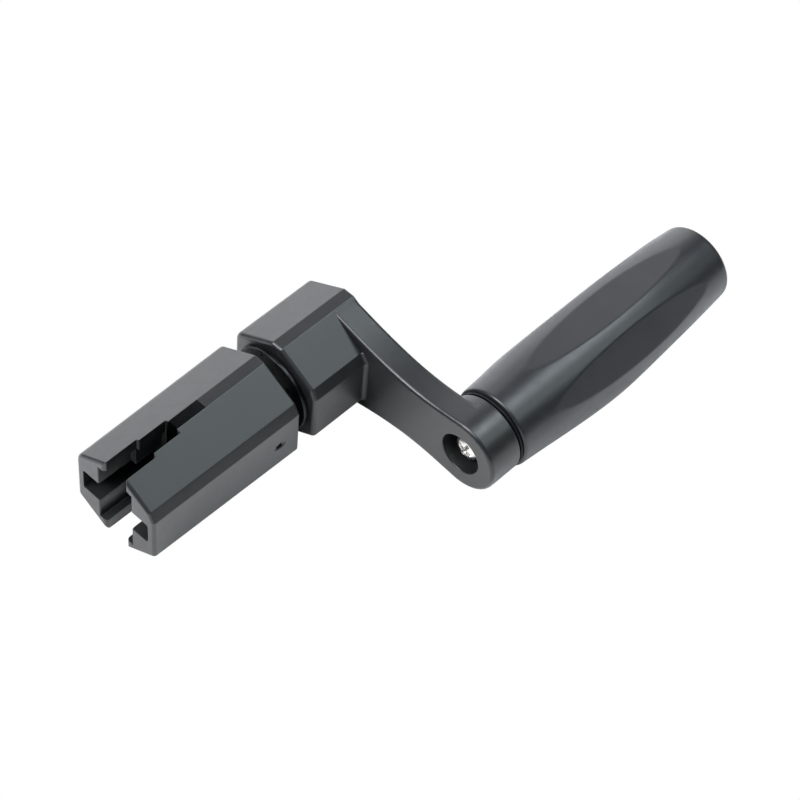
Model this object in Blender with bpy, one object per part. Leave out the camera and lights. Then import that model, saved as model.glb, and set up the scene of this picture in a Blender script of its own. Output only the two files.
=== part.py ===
"""String winder: a hand crank with a slotted hexagonal head and a free-turning grip.

Frame: metres, +Z up.  The origin is the centre of the crank block's back face.
The head's axis lies along Y and points to -Y, the arm runs along +X, and the
grip turns on an axis parallel to Y at x = THROW.
"""
import math

import bmesh
import bpy
from mathutils import Matrix, Vector
from mathutils.geometry import interpolate_bezier

MM = 0.001
GAP = 0.3 * MM                 # running gap between neighbouring pieces

# Driving dimensions
HEAD_R = 15.2 * MM             # hexagon circumradius at the head's back end
TIP_SCALE = 0.965              # the head tapers towards its tip
BLOCK_R = 15.25 * MM           # hexagon circumradius of the crank block
THROW = 43.6 * MM              # head axis to grip axis
HEAD_LENGTH = 45.2 * MM
NECK_GAP = 4.7 * MM            # head's back end to the block
BLOCK_LENGTH = 24.2 * MM

# Places along Y
BLOCK_FRONT = -BLOCK_LENGTH
HEAD_BACK = BLOCK_FRONT - NECK_GAP
TIP = HEAD_BACK - HEAD_LENGTH

# Head cavity: three stepped slots, each with a wider room behind its lips
SLOT_STEPS = (                 # depth from the tip, lip, room and pocket half-widths
    (9.8 * MM, 3.25 * MM, 5.3 * MM, 10.6 * MM),
    (17.8 * MM, 2.4 * MM, 3.6 * MM, 8.4 * MM),
    (26.4 * MM, 1.3 * MM, 1.9 * MM, 1.9 * MM),
)
ROOM_HALF = 9.4 * MM           # half-height of the room behind the lips
POCKET_HALF = 3.15 * MM        # half-height of the cross pocket
EDGE_CHAMFER = 1.75 * MM       # width taken off each face at a chamfered hexagon edge
MOULDED_EDGE = 0.8 * MM        # rounding of the moulded edges
CHAMFERED = (30, 90, 270)      # hexagon edges that are chamfered, in degrees from +X

# Drive shank: a hexagonal bar in the head that plugs into the crank
SHANK_AF = 6.35 * MM
SHANK_IN_HEAD = 12.0 * MM
SHANK_IN_BLOCK = 17.0 * MM
CROSS_PIN_R = 0.55 * MM
CROSS_PIN_HALF = 9.5 * MM
CROSS_PIN_FROM_BACK = 6.2 * MM
CROSS_PIN_Z = -0.8 * MM        # middle of the side flat, below its chamfer
SCOOP_R = 1.3 * MM             # shallow lens-shaped dish around each end of the pin
SCOOP_HALF_LENGTH = 2.8 * MM
SCOOP_DEPTH = 0.45 * MM
SOCKET_AF = 11.0 * MM          # outside of the steel socket
COLLAR_R = 11.4 * MM           # round collar in front of the block
COLLAR_T = 1.1 * MM
COLLAR_EDGE = 0.35 * MM
MAGNET_R = 3.2 * MM
MAGNET_T = 2.4 * MM

# Arm and eye
ARM_T = 7.2 * MM               # front to back; its back is flush with the block
ARM_ROOT = 14.3 * MM           # half-height where it leaves the block
ARM_ROOT_X = 0.9 * MM
ARM_WAIST = 9.07 * MM
ARM_WAIST_X = 29.5 * MM
ARM_BEVEL = 0.8 * MM
ROOT_FILLET_R = 1.1 * MM
ROOT_FLARE = 0.8 * MM          # the block's side widens a little before the fillet
ROOT_FLARE_LENGTH = 3.5 * MM
ROOT_FILLET_HALF = 6.9 * MM
EYE_R = 10.2 * MM
EYE_EDGE = 0.65 * MM
EYE_FRONT = -7.4 * MM
BOSS_BACK = 2.3 * MM
COUNTERBORE_R = 5.5 * MM
WEB_FRONT = -1.9 * MM          # floor of the counterbore
SCREW_HOLE_R = 2.3 * MM
RING_R = 10.2 * MM             # black ring between the boss and the grip
KEY_FRONT = 0.3 * MM           # floor of the spindle's key seat in the boss

# Grip
GRIP_FRONT = 3.5 * MM
GRIP_LENGTH = 74.5 * MM
GRIP_BACK = GRIP_FRONT + GRIP_LENGTH
GRIP_STATIONS = (              # distance along Y, radius at a ridge and at the plain side
    (3.5 * MM, 10.72 * MM, 10.72 * MM),
    (10.0 * MM, 11.10 * MM, 11.25 * MM),
    (20.0 * MM, 11.85 * MM, 12.15 * MM),
    (30.0 * MM, 12.33 * MM, 12.85 * MM),
    (38.0 * MM, 12.48 * MM, 13.00 * MM),
    (45.0 * MM, 12.48 * MM, 12.70 * MM),
    (54.0 * MM, 12.22 * MM, 12.10 * MM),
    (66.0 * MM, 11.32 * MM, 11.25 * MM),
    (78.0 * MM, 10.20 * MM, 10.20 * MM),
)
FLAT_ANGLES = (33.4, 93.4, 153.4, 213.4, 273.4)
FLAT_TURN = 21.8               # half-angle of a flat at its widest, in degrees
FLAT_MID = 42.3 * MM
FLAT_HALF = 27.3 * MM
PLAIN_ANGLE = -26.6            # middle of the side without a flat, in degrees
PLAIN_NEAR, PLAIN_FAR = 10.0, 35.0
GRIP_EDGE = 1.0 * MM
GRIP_BORE_R = 6.5 * MM

# Spindle and its two ball bearings
SPINDLE_R = 3.0 * MM
SPINDLE_KEY_AF = 7.0 * MM
SHOULDER_R = 4.3 * MM
BEARING_OUTER_R = 7.5 * MM
BEARING_W = 5.0 * MM
BALL_R = 1.25 * MM
BALL_COUNT = 7
BALL_PITCH_R = 5.25 * MM
OUTER_LAND_R = 6.25 * MM
INNER_LAND_R = 4.25 * MM
CAGE_INNER_R = 4.65 * MM
CAGE_OUTER_R = 5.85 * MM
RING_EDGE = 0.3 * MM
FRONT_BEARING = GRIP_FRONT + 1.0 * MM
REAR_BEARING = GRIP_BACK - 14.0 * MM
CAP_T = 3.0 * MM
CAP_EDGE = 0.4 * MM
CLIP_T = 0.8 * MM
CLIP_R = 5.2 * MM
CLIP_MOUTH_HALF = 2.0 * MM
CLIP_DEPTH = 0.6 * MM          # depth of the clip's groove in the spindle

# Screw that draws the spindle into the boss
SCREW_R = 1.75 * MM
SCREW_HEAD_R = 3.5 * MM
SCREW_HEAD_T = 2.5 * MM
SCREW_END = 12.0 * MM
SCREW_TAPER = 0.5 * MM
THREAD_END = 13.0 * MM         # bottom of the tapped hole in the spindle
RECESS_WING = 2.0 * MM
RECESS_ROOT = 1.0 * MM
RECESS_HALF = 0.42 * MM
RECESS_DEPTH = 1.7 * MM
RECESS_TURN = 20               # how far the cross recess is turned, in degrees
LOCK_WASHER_INNER_R = 2.15 * MM
LOCK_WASHER_OUTER_R = 3.2 * MM
LOCK_WASHER_T = 0.8 * MM

BLACK = ("moulded_black", (0.035, 0.037, 0.040), 0.55, 0.0)
SOFT_BLACK = ("grip_black", (0.045, 0.048, 0.050), 0.60, 0.0)
RING_BLACK = ("ring_black", (0.010, 0.011, 0.012), 0.45, 0.0)
STEEL = ("bright_steel", (0.62, 0.62, 0.60), 0.25, 1.0)
DARK_STEEL = ("dark_steel", (0.18, 0.18, 0.19), 0.40, 1.0)
CAGE_TAN = ("cage_nylon", (0.55, 0.48, 0.33), 0.50, 0.0)


# ---------------------------------------------------------------- helpers

def clear_scene():
    for obj in list(bpy.data.objects):
        bpy.data.objects.remove(obj, do_unlink=True)


def material(spec):
    name, colour, roughness, metallic = spec
    mat = bpy.data.materials.get(name)
    if mat is None:
        mat = bpy.data.materials.new(name)
        mat.use_nodes = True
        shader = mat.node_tree.nodes["Principled BSDF"]
        shader.inputs["Base Color"].default_value = (*colour, 1.0)
        shader.inputs["Roughness"].default_value = roughness
        shader.inputs["Metallic"].default_value = metallic
    return mat


def finish(name, bm, spec, at=(0.0, 0.0, 0.0), smooth=True):
    """Turn a bmesh into a named object placed at a location."""
    bmesh.ops.remove_doubles(bm, verts=bm.verts, dist=1e-6)
    bmesh.ops.recalc_face_normals(bm, faces=bm.faces)
    mesh = bpy.data.meshes.new(name)
    bm.to_mesh(mesh)
    bm.free()
    if smooth:
        mesh.shade_smooth()
        mesh.set_sharp_from_angle(angle=math.radians(35))
    obj = bpy.data.objects.new(name, mesh)
    bpy.context.collection.objects.link(obj)
    obj.location = at
    mesh.materials.append(material(spec))
    return obj


def parent_to(obj, empty):
    """Parent without moving: the empty is unrotated, so only its place is taken off."""
    obj.parent = empty
    obj.location = Vector(obj.location) - Vector(empty.location)


def axis_empty(name, at):
    empty = bpy.data.objects.new(name, None)
    empty.location = at
    bpy.context.collection.objects.link(empty)
    return empty


def loft(sections):
    """Closed solid through rings of (x, y, z) points that all have the same count."""
    bm = bmesh.new()
    rings = [[bm.verts.new(p) for p in ring] for ring in sections]
    count = len(rings[0])
    for a, b in zip(rings, rings[1:]):
        for i in range(count):
            j = (i + 1) % count
            bm.faces.new((a[i], a[j], b[j], b[i]))
    bm.faces.new(rings[0][::-1])
    bm.faces.new(rings[-1])
    return bm


def prism(outline, y0, y1, end_scale=1.0):
    """Extrude an (x, z) outline from y0 to y1, scaled at its far end."""
    near = [(x, y0, z) for x, z in outline]
    far = [(x * end_scale, y1, z * end_scale) for x, z in outline]
    return loft([near, far])


def circle(radius, y, segments):
    return [(radius * math.cos(math.tau * (i + 0.5) / segments), y,
             radius * math.sin(math.tau * (i + 0.5) / segments)) for i in range(segments)]


def turned(profile, segments):
    """Solid of revolution about Y through (radius, y) points, with flat ends."""
    return loft([circle(r, y, segments) for r, y in profile])


def spun(profile, segments):
    """Ring made by spinning a closed (radius, y) profile about the Y axis."""
    bm = bmesh.new()
    verts = [bm.verts.new((r, y, 0.0)) for r, y in profile]
    edges = [bm.edges.new(pair) for pair in zip(verts, verts[1:] + verts[:1])]
    bmesh.ops.spin(bm, geom=verts + edges, axis=(0, 1, 0), cent=(0, 0, 0),
                   angle=math.tau, steps=segments, use_merge=True)
    return bm


def rod(radius, y0, y1, segments=32, bevel=0.0):
    """A round bar along Y, its end edges broken by a small bevel."""
    if bevel == 0.0:
        return turned([(radius, y0), (radius, y1)], segments)
    return turned([(radius - bevel, y0), (radius, y0 + bevel),
                   (radius, y1 - bevel), (radius - bevel, y1)], segments)


def tube(inner, outer, y0, y1, segments=40, bevel=0.0):
    """A round ring or sleeve along Y, its outer edges broken by a small bevel."""
    if bevel == 0.0:
        return spun([(inner, y0), (outer, y0), (outer, y1), (inner, y1)], segments)
    return spun([(inner, y0), (outer - bevel, y0), (outer, y0 + bevel),
                 (outer, y1 - bevel), (outer - bevel, y1), (inner, y1)], segments)


def hexagon(circumradius, chamfer=0.0, chamfered=(), scale=1.0):
    """Hexagon in X and Z with a corner at the top; some corners are cut off."""
    points = []
    for degrees in range(30, 390, 60):
        corner = Vector((math.cos(math.radians(degrees)), math.sin(math.radians(degrees))))
        corner *= circumradius * scale
        if degrees in chamfered:
            for side in (-60, 60):
                turn = math.radians(degrees + side)
                other = Vector((math.cos(turn), math.sin(turn))) * circumradius * scale
                points.append(tuple(corner + (other - corner).normalized() * chamfer))
        else:
            points.append(tuple(corner))
    return points


def hex_across_flats(flats):
    return hexagon(flats / math.sqrt(3.0))


def cutter(name, bm, at=(0.0, 0.0, 0.0)):
    obj = finish(name, bm, BLACK, at, smooth=False)
    obj.hide_render = True
    obj.display_type = "WIRE"
    return obj


def boolean(obj, tool, operation):
    mod = obj.modifiers.new(tool.name, "BOOLEAN")
    mod.operation = operation
    mod.solver = "EXACT"
    mod.object = tool


def bevel(obj, width, segments=2, angle=40):
    mod = obj.modifiers.new("edges", "BEVEL")
    mod.width = width
    mod.segments = segments
    mod.limit_method = "ANGLE"
    mod.angle_limit = math.radians(angle)
    mod.harden_normals = False


# ---------------------------------------------------------------- head

def cross_outline(lip, room, pocket):
    """Cross-shaped cavity: an open slot along Z behind lips, and a closed pocket along X."""
    tall = HEAD_R * 1.3
    upper = [(lip, tall), (lip, ROOM_HALF), (room, ROOM_HALF),
             (room, POCKET_HALF), (pocket, POCKET_HALF)]
    right = upper + [(x, -z) for x, z in reversed(upper)]
    left = [(-x, z) for x, z in reversed(right)]
    outline = right + left
    kept = []
    for point in outline:
        if not kept or (Vector(point) - Vector(kept[-1])).length > 1e-6:
            kept.append(point)
    return kept


def build_head(pull):
    outline = hexagon(HEAD_R, EDGE_CHAMFER, CHAMFERED, TIP_SCALE)
    head = finish("winder_head", prism(outline, TIP, HEAD_BACK, 1.0 / TIP_SCALE), BLACK)
    bevel(head, MOULDED_EDGE, 2, 25)
    start = TIP - 5.0 * MM
    for number, (depth, lip, room, pocket) in enumerate(SLOT_STEPS, 1):
        slot = cutter(f"slot_cut_{number}", prism(cross_outline(lip, room, pocket), start, TIP + depth))
        boolean(head, slot, "DIFFERENCE")
        start = TIP + depth - 1.0 * MM
    bore = cutter("shank_seat_cut", prism(hex_across_flats(SHANK_AF + 2 * GAP),
                                          HEAD_BACK - SHANK_IN_HEAD - GAP, HEAD_BACK + 1.0 * MM))
    boolean(head, bore, "DIFFERENCE")
    pin_at = (0.0, HEAD_BACK - CROSS_PIN_FROM_BACK, CROSS_PIN_Z)
    sideways = (0.0, 0.0, math.radians(-90))
    pin_cut = cutter("cross_pin_cut", rod(CROSS_PIN_R + GAP, -HEAD_R, HEAD_R, 16), pin_at)
    pin_cut.rotation_euler = sideways
    boolean(head, pin_cut, "DIFFERENCE")
    lens = [(SCOOP_R * math.cos(math.radians(a)), SCOOP_HALF_LENGTH * math.sin(math.radians(a)))
            for a in range(-75, 90, 25)]
    flat_x = HEAD_R * math.sqrt(0.75)
    for side, word in ((-1, "left"), (1, "right")):
        at = (side * (flat_x + SCOOP_R - SCOOP_DEPTH), pin_at[1], pin_at[2])
        boolean(head, cutter(f"scoop_cut_{word}", turned(lens, 24), at), "DIFFERENCE")

    shank = finish("head_shank", prism(hex_across_flats(SHANK_AF), HEAD_BACK - SHANK_IN_HEAD,
                                       BLOCK_FRONT + SHANK_IN_BLOCK), STEEL)
    bevel(shank, 0.5 * MM, 1, 70)
    boolean(shank, pin_cut, "DIFFERENCE")

    pin = finish("head_pin", rod(CROSS_PIN_R, -CROSS_PIN_HALF, CROSS_PIN_HALF, 16, 0.15 * MM),
                 DARK_STEEL, pin_at)
    pin.rotation_euler = sideways
    for obj in (head, shank, pin):
        parent_to(obj, pull)


# ---------------------------------------------------------------- crank

def arm_outline():
    """Upper edge from the block over the waist to the eye, mirrored below."""
    root = Vector((ARM_ROOT_X, 0.0, ARM_ROOT))
    waist = Vector((ARM_WAIST_X, 0.0, ARM_WAIST))
    eye = Vector((THROW - 1.0 * MM, 0.0, EYE_R - 0.2 * MM))
    first = interpolate_bezier(root, root + Vector((5.0 * MM, 0, -1.1 * MM)),
                               waist + Vector((-12.0 * MM, 0, 0)), waist, 12)
    second = interpolate_bezier(waist, waist + Vector((5.0 * MM, 0, 0)),
                                eye + Vector((-5.0 * MM, 0, -0.45 * MM)), eye, 7)
    upper = [(p.x, p.z) for p in first + second[1:]]
    return upper + [(x, -z) for x, z in reversed(upper)]


def build_crank_body():
    outline = hexagon(BLOCK_R, EDGE_CHAMFER, CHAMFERED)
    body = finish("crank_body", prism(outline, BLOCK_FRONT, 0.0), BLACK)
    bevel(body, MOULDED_EDGE, 2, 25)

    arm = cutter("arm_add", prism(arm_outline(), -ARM_T, 0.0))
    bevel(arm, ARM_BEVEL, 2, 60)
    boolean(body, arm, "UNION")

    face_x = BLOCK_R * math.sqrt(0.75)
    behind = -ARM_T + 2.0 * MM
    flare_x = face_x + ROOT_FLARE
    flare_y = -ARM_T - ROOT_FILLET_R - ROOT_FLARE_LENGTH
    corner = [(face_x - 2.0 * MM, behind), (face_x - 2.0 * MM, flare_y), (face_x, flare_y)]
    steps = 5
    for step in range(steps + 1):
        turn = math.radians(180 - 90 * step / steps)
        corner.append((flare_x + ROOT_FILLET_R * (1 + math.cos(turn)),
                       -ARM_T - ROOT_FILLET_R * (1 - math.sin(turn))))
    corner.append((flare_x + ROOT_FILLET_R, behind))
    web = loft([[(x, y, z) for x, y in corner] for z in (-ROOT_FILLET_HALF, ROOT_FILLET_HALF)])
    boolean(body, cutter("root_fillet_add", web), "UNION")

    boss_edge = 0.3 * MM
    eye = turned([(EYE_R - EYE_EDGE, EYE_FRONT), (EYE_R, EYE_FRONT + EYE_EDGE),
                  (EYE_R, BOSS_BACK - boss_edge), (EYE_R - boss_edge, BOSS_BACK)], 64)
    boolean(body, cutter("eye_add", eye, (THROW, 0.0, 0.0)), "UNION")

    boolean(body, cutter("counterbore_cut", rod(COUNTERBORE_R, EYE_FRONT - 2 * MM, WEB_FRONT, 48),
                         (THROW, 0.0, 0.0)), "DIFFERENCE")
    hole = rod(SCREW_HOLE_R, WEB_FRONT - 1 * MM, BOSS_BACK + 1 * MM, 24)
    boolean(body, cutter("screw_hole_cut", hole, (THROW, 0.0, 0.0)), "DIFFERENCE")
    key = prism(hex_across_flats(SPINDLE_KEY_AF + 2 * GAP), KEY_FRONT, BOSS_BACK + 1.0 * MM)
    boolean(body, cutter("spindle_key_cut", key, (THROW, 0.0, 0.0)), "DIFFERENCE")
    socket_back = BLOCK_FRONT + SHANK_IN_BLOCK + MAGNET_T + 3 * GAP
    seat = prism(hex_across_flats(SOCKET_AF + 2 * GAP), BLOCK_FRONT - 1.0 * MM, socket_back)
    boolean(body, cutter("socket_seat_cut", seat), "DIFFERENCE")


def build_socket():
    """Steel socket with a round collar; its hexagonal body can't turn in the block."""
    back = BLOCK_FRONT + SHANK_IN_BLOCK + MAGNET_T + 2 * GAP
    collar_back = BLOCK_FRONT - GAP
    socket = finish("shank_socket", collar_disc(collar_back), DARK_STEEL)
    body = prism(hex_across_flats(SOCKET_AF), collar_back - 0.3 * MM, back)
    boolean(socket, cutter("socket_body_add", body), "UNION")
    hole = prism(hex_across_flats(SHANK_AF + 2 * GAP), collar_back - COLLAR_T - 1 * MM, back + 1 * MM)
    boolean(socket, cutter("socket_hole_cut", hole), "DIFFERENCE")
    magnet_at = BLOCK_FRONT + SHANK_IN_BLOCK + GAP
    seat = rod(MAGNET_R + GAP, magnet_at - GAP, back + 1 * MM, 32)
    boolean(socket, cutter("magnet_seat_cut", seat), "DIFFERENCE")
    finish("socket_magnet", rod(MAGNET_R, magnet_at, magnet_at + MAGNET_T, 32, 0.2 * MM), STEEL)


def collar_disc(back):
    """The collar's disc, before its hexagonal body and hole are added."""
    front = back - COLLAR_T
    return turned([(COLLAR_R - COLLAR_EDGE, front), (COLLAR_R, front + COLLAR_EDGE),
                   (COLLAR_R, back)], 48)


# ---------------------------------------------------------------- grip

def station_radius(y, column):
    """Smooth curve through one column of the grip's stations."""
    last = len(GRIP_STATIONS) - 1
    i = 0
    while i < last - 1 and y > GRIP_STATIONS[i + 1][0]:
        i += 1

    def slope(k):
        a, b = GRIP_STATIONS[max(k - 1, 0)], GRIP_STATIONS[min(k + 1, last)]
        return (b[column] - a[column]) / (b[0] - a[0])

    here, there = GRIP_STATIONS[i], GRIP_STATIONS[i + 1]
    span = there[0] - here[0]
    t = min(max((y - here[0]) / span, 0.0), 1.0)
    return (here[column] * (1 + 2 * t) * (1 - t) ** 2 + there[column] * (3 - 2 * t) * t * t
            + span * (slope(i) * t * (1 - t) ** 2 - slope(i + 1) * t * t * (1 - t)))


def grip_ring(y, inset, segments):
    """One cross-section of the grip: a rounded barrel cut by flats with oval outlines."""
    ridge, plain = station_radius(y, 1), station_radius(y, 2)
    along = (y - FLAT_MID) / FLAT_HALF
    half = math.radians(FLAT_TURN) * math.sqrt(max(1.0 - along * along, 0.0))
    flat = ridge * math.cos(half)
    ring = []
    for i in range(segments):
        angle = math.tau * i / segments
        away = abs((math.degrees(angle) - PLAIN_ANGLE + 180) % 360 - 180)
        t = min(max((PLAIN_FAR - away) / (PLAIN_FAR - PLAIN_NEAR), 0.0), 1.0)
        radius = ridge + (plain - ridge) * t * t * (3 - 2 * t)
        for degrees in FLAT_ANGLES:
            lean = math.cos(angle - math.radians(degrees))
            if half > 0.0 and lean > 0.5:
                radius = min(radius, flat / lean)
        radius -= inset
        ring.append((radius * math.cos(angle), y, radius * math.sin(angle)))
    return ring


def build_grip_sleeve():
    segments = 72
    turns = [math.radians(a) for a in (0, 30, 60, 90)]
    sections = [grip_ring(GRIP_FRONT + GRIP_EDGE * (1 - math.cos(a)), GRIP_EDGE * (1 - math.sin(a)),
                          segments) for a in turns]
    steps = 18
    for step in range(1, steps):
        y = GRIP_FRONT + GRIP_EDGE + (GRIP_LENGTH - 2 * GRIP_EDGE) * step / steps
        sections.append(grip_ring(y, 0.0, segments))
    sections += [grip_ring(GRIP_BACK - GRIP_EDGE * (1 - math.cos(a)), GRIP_EDGE * (1 - math.sin(a)),
                           segments) for a in reversed(turns)]
    sleeve = finish("grip_sleeve", loft(sections), SOFT_BLACK, (THROW, 0.0, 0.0))
    front_shoulder = FRONT_BEARING + BEARING_W + GAP
    rear_shoulder = REAR_BEARING - GAP
    bore = turned([(BEARING_OUTER_R, GRIP_FRONT - 1 * MM), (BEARING_OUTER_R, front_shoulder),
                   (GRIP_BORE_R, front_shoulder), (GRIP_BORE_R, rear_shoulder),
                   (BEARING_OUTER_R, rear_shoulder), (BEARING_OUTER_R, GRIP_BACK + 1 * MM)], 48)
    boolean(sleeve, cutter("grip_bore_cut", bore, (THROW, 0.0, 0.0)), "DIFFERENCE")
    return sleeve


def groove(centre_y, r_pitch, r_groove, towards):
    """Points of a ball groove, an arc about the ball's centre, walked along +Y."""
    points = []
    count = 4
    half = math.radians(50)
    for i in range(count):
        turn = -half + 2 * half * i / (count - 1)
        points.append((r_pitch + towards * r_groove * math.cos(turn),
                       centre_y + r_groove * math.sin(turn)))
    return points


def build_bearing(where, y0):
    """A small ball bearing: outer ring, inner ring, seven balls and their cage."""
    mid = y0 + BEARING_W / 2
    y1 = y0 + BEARING_W
    r_groove = BALL_R + GAP
    outer_r = BEARING_OUTER_R - GAP
    outer_profile = [(OUTER_LAND_R, y0)] + groove(mid, BALL_PITCH_R, r_groove, 1)
    outer_profile += [(OUTER_LAND_R, y1), (outer_r - RING_EDGE, y1), (outer_r, y1 - RING_EDGE),
                      (outer_r, y0 + RING_EDGE), (outer_r - RING_EDGE, y0)]
    outer = finish(f"{where}_bearing_outer_ring", spun(outer_profile, 28), STEEL, (THROW, 0.0, 0.0))
    inner_profile = [(SPINDLE_R + GAP, y0), (INNER_LAND_R, y0)]
    inner_profile += groove(mid, BALL_PITCH_R, r_groove, -1)
    inner_profile += [(INNER_LAND_R, y1), (SPINDLE_R + GAP, y1)]
    finish(f"{where}_bearing_inner_ring", spun(inner_profile, 28), STEEL, (THROW, 0.0, 0.0))

    ball_set = []
    for i in range(BALL_COUNT):
        turn = math.tau * i / BALL_COUNT
        ball = bmesh.new()
        bmesh.ops.create_icosphere(ball, subdivisions=2, radius=BALL_R)
        at = (THROW + BALL_PITCH_R * math.cos(turn), mid, BALL_PITCH_R * math.sin(turn))
        ball_set.append(finish(f"{where}_ball_{i + 1}", ball, STEEL, at))

    crown = tube(CAGE_INNER_R, CAGE_OUTER_R, mid + 0.4 * MM, y1 - GAP, 42)
    cage = finish(f"{where}_bearing_cage", crown, CAGE_TAN, (THROW, 0.0, 0.0))
    pockets = bmesh.new()
    for i in range(BALL_COUNT):
        turn = math.tau * i / BALL_COUNT
        at = Matrix.Translation((BALL_PITCH_R * math.cos(turn), mid, BALL_PITCH_R * math.sin(turn)))
        bmesh.ops.create_icosphere(pockets, subdivisions=2, radius=BALL_R + GAP, matrix=at)
    boolean(cage, cutter(f"{where}_pocket_cut", pockets, (THROW, 0.0, 0.0)), "DIFFERENCE")
    return outer, ball_set, cage


def build_spindle():
    """Spindle keyed into the boss, drawn in by the cross-slot screw from the front."""
    shoulder_back = FRONT_BEARING - GAP
    groove_y = REAR_BEARING + BEARING_W + 2 * GAP
    end = groove_y + CLIP_T + 1.3 * MM
    groove_r = SPINDLE_R - CLIP_DEPTH
    profile = [(SHOULDER_R, BOSS_BACK + GAP), (SHOULDER_R, shoulder_back), (SPINDLE_R, shoulder_back),
               (SPINDLE_R, groove_y - GAP), (groove_r, groove_y - GAP),
               (groove_r, groove_y + CLIP_T + GAP), (SPINDLE_R, groove_y + CLIP_T + GAP),
               (SPINDLE_R, end - 0.5 * MM), (SPINDLE_R - 0.5 * MM, end)]
    spindle = finish("grip_spindle", turned(profile, 24), STEEL, (THROW, 0.0, 0.0))
    key = prism(hex_across_flats(SPINDLE_KEY_AF), KEY_FRONT + GAP, BOSS_BACK + 2 * GAP)
    boolean(spindle, cutter("spindle_key_add", key, (THROW, 0.0, 0.0)), "UNION")
    thread = rod(SCREW_R + GAP, -1.0 * MM, THREAD_END, 24)
    boolean(spindle, cutter("spindle_thread_cut", thread, (THROW, 0.0, 0.0)), "DIFFERENCE")

    clip = finish("spindle_clip", tube(groove_r + GAP, CLIP_R, groove_y, groove_y + CLIP_T, 32),
                  DARK_STEEL, (THROW, 0.0, 0.0))
    far = CLIP_R + 1 * MM
    mouth = prism([(0.0, -CLIP_MOUTH_HALF), (far, -CLIP_MOUTH_HALF), (far, CLIP_MOUTH_HALF),
                   (0.0, CLIP_MOUTH_HALF)], groove_y - 1 * MM, groove_y + CLIP_T + 1 * MM)
    boolean(clip, cutter("clip_mouth_cut", mouth, (THROW, 0.0, 0.0)), "DIFFERENCE")
    spacer = tube(SPINDLE_R + GAP, INNER_LAND_R, FRONT_BEARING + BEARING_W + GAP, REAR_BEARING - GAP, 24)
    finish("bearing_spacer", spacer, DARK_STEEL, (THROW, 0.0, 0.0))


def build_screw():
    """Pan head with a cross recess; its shank runs through the web into the spindle."""
    seat = WEB_FRONT - GAP
    washer = tube(LOCK_WASHER_INNER_R, LOCK_WASHER_OUTER_R, seat - LOCK_WASHER_T, seat, 32)
    finish("lock_washer", washer, DARK_STEEL, (THROW, 0.0, 0.0))
    under = seat - LOCK_WASHER_T - GAP
    top = under - SCREW_HEAD_T
    profile = [(1.2 * MM, top), (2.2 * MM, top + 0.2 * MM), (3.0 * MM, top + 0.7 * MM),
               (SCREW_HEAD_R, top + 1.6 * MM), (SCREW_HEAD_R, under), (SCREW_R, under),
               (SCREW_R, SCREW_END - SCREW_TAPER), (SCREW_R - SCREW_TAPER, SCREW_END)]
    screw = finish("spindle_screw", turned(profile, 36), STEEL, (THROW, 0.0, 0.0))
    for name, turn in (("recess_a", RECESS_TURN), ("recess_b", RECESS_TURN + 90)):
        rings = []
        for y, wing, half in ((top - 0.5 * MM, RECESS_WING, RECESS_HALF),
                              (top + RECESS_DEPTH, RECESS_ROOT, RECESS_HALF * 0.6)):
            rings.append([(-wing, y, -half), (wing, y, -half), (wing, y, half), (-wing, y, half)])
        recess = cutter(name, loft(rings), (THROW, 0.0, 0.0))
        recess.rotation_euler = (0.0, math.radians(turn), 0.0)
        boolean(screw, recess, "DIFFERENCE")


def build():
    clear_scene()
    head_pull = axis_empty("head_axis", (0.0, BLOCK_FRONT, 0.0))
    grip_turn = axis_empty("grip_axis", (THROW, GRIP_FRONT, 0.0))
    front_orbit = axis_empty("front_cage_axis", (THROW, FRONT_BEARING, 0.0))
    rear_orbit = axis_empty("rear_cage_axis", (THROW, REAR_BEARING, 0.0))
    build_head(head_pull)
    build_crank_body()
    build_socket()
    build_spindle()
    build_screw()
    ring = tube(SHOULDER_R + GAP, RING_R, BOSS_BACK + GAP, GRIP_FRONT - GAP, 48)
    finish("thrust_washer", ring, RING_BLACK, (THROW, 0.0, 0.0))
    sleeve = build_grip_sleeve()
    plug = rod(BEARING_OUTER_R - GAP, GRIP_BACK - CAP_T, GRIP_BACK, 48, CAP_EDGE)
    cap = finish("grip_end_cap", plug, BLACK, (THROW, 0.0, 0.0))
    for obj in (sleeve, cap):
        parent_to(obj, grip_turn)
    for where, y0, orbit in (("front", FRONT_BEARING, front_orbit), ("rear", REAR_BEARING, rear_orbit)):
        outer, balls, cage = build_bearing(where, y0)
        parent_to(outer, grip_turn)
        for piece in balls + [cage]:
            parent_to(piece, orbit)


build()
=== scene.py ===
import math

import bmesh
import bpy
from mathutils import Matrix, Quaternion, Vector
from mathutils.geometry import interpolate_bezier


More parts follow.
